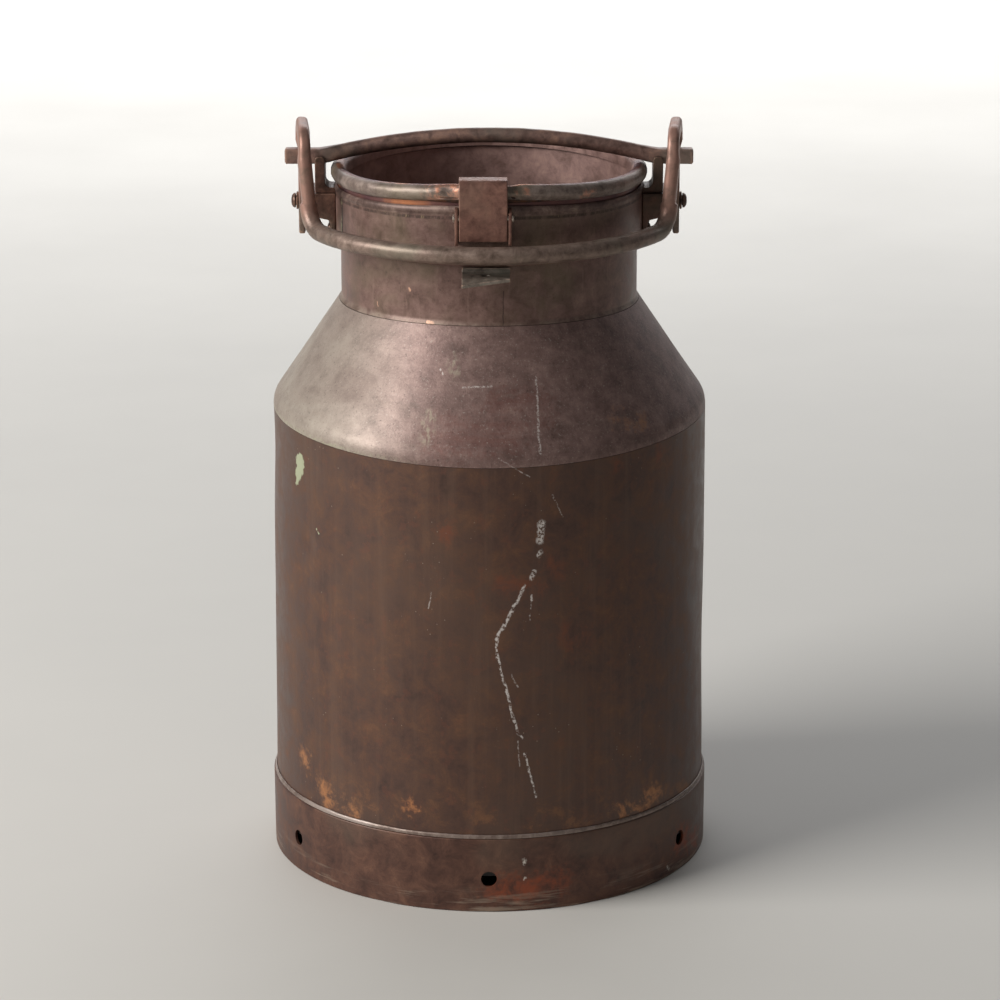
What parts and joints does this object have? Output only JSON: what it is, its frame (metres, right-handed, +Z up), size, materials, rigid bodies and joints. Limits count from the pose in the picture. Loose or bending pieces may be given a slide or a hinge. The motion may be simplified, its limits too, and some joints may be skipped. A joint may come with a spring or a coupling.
{
  "type": "milking machine bucket",
  "caption": "Open copper milk can from a milking machine, with a swinging clamp handle, a loose lid crossbar, a hooked front latch, a drilled seal lug and a vented foot skirt.",
  "frame": {"origin": "centre of the foot skirt's lower edge, on the floor", "axes": "+Z up along the can's axis, -Y to the front with the latch and the resting handle, +X to the right ear seen from the front"},
  "size_m": [0.3112, 0.3112, 0.5252],
  "materials": {
    "foot_skirt": "oxidised copper sheet, brown patina",
    "foot_solder_seam": "old soft solder",
    "bottom_pan": "dull copper sheet",
    "body_shell": "oxidised copper sheet, brown patina with chalky scratches",
    "shoulder_cone": "oxidised copper sheet, grey-brown speckled patina",
    "neck_tube": "oxidised copper sheet",
    "neck_collar": "oxidised copper sheet",
    "mouth_ring": "worn copper bead",
    "mouth_wire": "iron wire",
    "ear": "dark cast bronze",
    "saddle": "dark forged bar",
    "rivet": "copper rivet",
    "crossbar": "dark forged bar",
    "handle": "forged bar, green-brown patina",
    "latch": "worn copper strap",
    "latch_pin": "bright worn pin",
    "seal_lug": "worn copper plate"
  },
  "bodies": {
    "vessel": {"foot_skirt": "foot_skirt", "foot_solder_seam": "foot_solder_seam", "bottom_pan": "bottom_pan", "body_shell": "body_shell", "shoulder_cone": "shoulder_cone", "neck_tube": "neck_tube", "neck_collar": "neck_collar", "mouth_ring": "mouth_ring", "mouth_wire": "mouth_wire", "latch_pin": "latch_pin", "seal_lug": "seal_lug", "ear_bracket_left": "ear", "crossbar_saddle_left": "saddle", "pivot_rivet_left": "rivet", "pivot_washer_left": "rivet", "latch_cheek_left": "latch", "ear_rivet_left_front": "rivet", "ear_rivet_left_back": "rivet", "ear_bracket_right": "ear", "crossbar_saddle_right": "saddle", "pivot_rivet_right": "rivet", "pivot_washer_right": "rivet", "latch_cheek_right": "latch", "ear_rivet_right_front": "rivet", "ear_rivet_right_back": "rivet"},
    "crossbar": {"crossbar": "crossbar"},
    "handle": {"handle_bail": "handle"},
    "latch": {"latch_strap": "latch"}
  },
  "joints": [
    {"name": "handle_swing", "type": "hinge", "parent": "vessel", "child": "handle", "pos_m": [0, 0.0126, 0.4642], "axis": [-1, 0, 0], "range_deg": [0, 180]},
    {"name": "crossbar_lift", "type": "slide", "parent": "vessel", "child": "crossbar", "axis": [0, 0, 1], "range_m": [0, 0.002]},
    {"name": "front_latch", "type": "hinge", "parent": "vessel", "child": "latch", "pos_m": [-0.0035, -0.1112, 0.4777], "axis": [1, 0, 0], "range_deg": [0, 16]}
  ]
}
